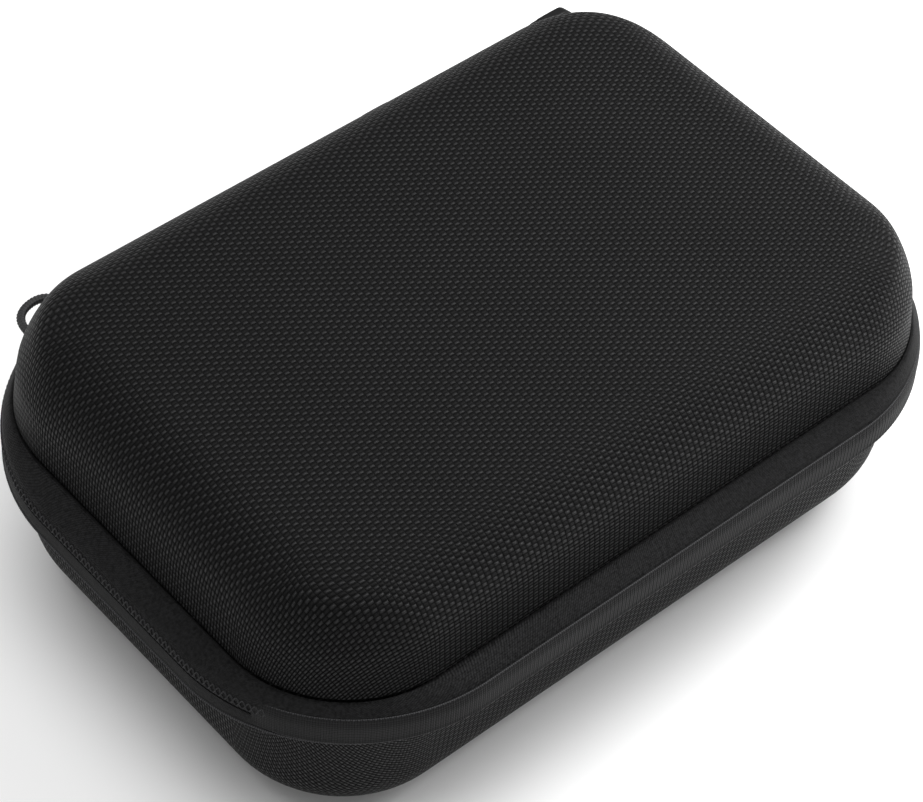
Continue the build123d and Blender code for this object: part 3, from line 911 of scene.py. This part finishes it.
def loop_line():
    """Points along the loop's smooth line."""
    origin = np.array([CORNER_X, -CORNER_Y, SEAM + LOOP_RISE]) + BAND_CORNER * heading(LOOP_ANGLE)
    across, out = heading(LOOP_ANGLE - 90), heading(LOOP_ANGLE)
    curve = bpy.data.curves.new("loop_line", "CURVE")
    curve.dimensions = "3D"
    curve.resolution_u = 40
    spline = curve.splines.new("NURBS")
    spline.points.add(len(LOOP_ROUTE) - 1)
    for point, (a, b) in zip(spline.points, LOOP_ROUTE):
        point.co = (*((origin + across * a + out * b) * MM), 1)
    spline.order_u = 3
    spline.use_endpoint_u = True
    carrier = bpy.data.objects.new("loop_line", curve)
    bpy.context.scene.collection.objects.link(carrier)
    mesh = bpy.data.meshes.new_from_object(carrier.evaluated_get(bpy.context.evaluated_depsgraph_get()))
    line = np.array([vertex.co for vertex in mesh.vertices]) / MM
    bpy.data.objects.remove(carrier)
    bpy.data.meshes.remove(mesh)
    return line


line = loop_line()
reach = np.concatenate([[0], np.cumsum(np.linalg.norm(np.diff(line, axis=0), axis=1))])
even = np.linspace(0, reach[-1], 260)
line = np.column_stack([np.interp(even, reach, line[:, k]) for k in range(3)])
around = 2 * np.pi * np.arange(32) / 32
lay = 2 * np.pi * even / 3.6
over = np.sin(4 * (around[None, :] + lay[:, None] / 2)) * np.sin(4 * (around[None, :] - lay[:, None] / 2))
loop = tube("corner_loop_braid", line, CORD / 2 - 0.12 + 0.15 * np.sign(over) * np.abs(over) ** 0.6, 32, sharp=80)
dress(loop, BRAID, "base", "loop_cord", "corner_loop")

# ---------------------------------------------------------------- stage, light and camera

floor_material = Surface("studio_floor", 0.9)
FLOOR_REACH = 3000
FLOOR_CORNERS = ((-1, -1), (1, -1), (1, 1), (-1, 1))
floor = made("studio_floor", [(x * FLOOR_REACH, y * FLOOR_REACH, 0) for x, y in FLOOR_CORNERS], [(0, 1, 2, 3)])
grain = floor_material.noise(60.0)
floor.data.materials.append(floor_material.finish(
    floor_material.mix(grain, (0.88, 0.88, 0.88), (0.9, 0.9, 0.9)), 0.9, grain, 0.01))

FILL_LIGHT = 0.42
world = bpy.data.worlds.new("studio")
bpy.context.scene.world = world
world.use_nodes = True
world.node_tree.nodes["Background"].inputs[0].default_value = (1, 1, 1, 1)
world.node_tree.nodes["Background"].inputs[1].default_value = FILL_LIGHT
bpy.context.scene.view_settings.view_transform = "Standard"


def softbox(name, azimuth, elevation, distance, size, power):
    """Square area light aimed at the case."""
    light = bpy.data.lights.new(name, "AREA")
    light.size = size
    light.energy = power
    lamp = bpy.data.objects.new(name, light)
    bpy.context.scene.collection.objects.link(lamp)
    a, e = math.radians(azimuth), math.radians(elevation)
    way = Vector((math.sin(a) * math.cos(e), -math.cos(a) * math.cos(e), math.sin(e)))
    lamp.location = Vector((0, 0, SEAM * MM)) + way * distance
    lamp.rotation_euler = way.to_track_quat("Z", "Y").to_euler()
    lamp.visible_camera = False


softbox("key_softbox", 250, 42, 0.48, 0.34, 2.7)
softbox("overhead_softbox", 60, 82, 1.6, 1.2, 19)

CAMERA_AZIMUTH, CAMERA_ELEVATION, CAMERA_ROLL = 135.74068, 48.35063, 4.60233
CAMERA_DISTANCE, CAMERA_RIGHT, CAMERA_UP = 770.0824, -1.49669, -7.48010
CAMERA_FOCUS = 3122.684
IMAGE_WIDTH = 923

turn, lift, roll = (math.radians(a) for a in (CAMERA_AZIMUTH, CAMERA_ELEVATION, CAMERA_ROLL))
back = Vector((math.sin(turn) * math.cos(lift), -math.cos(turn) * math.cos(lift), math.sin(lift)))
right = (-back).cross(Vector((0, 0, 1))).normalized()
up = right.cross(-back)
place = right * CAMERA_RIGHT + up * CAMERA_UP + back * CAMERA_DISTANCE + Vector((0, 0, SEAM))
lens = bpy.data.cameras.new("photo_camera")
camera = bpy.data.objects.new("photo_camera", lens)
bpy.context.scene.collection.objects.link(camera)
lens.sensor_width = 36.0
lens.lens = 36.0 * CAMERA_FOCUS / IMAGE_WIDTH
lens.clip_start, lens.clip_end = 0.05, 20.0
view_x = right * math.cos(roll) + up * math.sin(roll)
view_y = up * math.cos(roll) - right * math.sin(roll)
camera.matrix_world = Matrix.Translation(place * MM) @ Matrix((view_x, view_y, back)).transposed().to_4x4()
bpy.context.scene.camera = camera
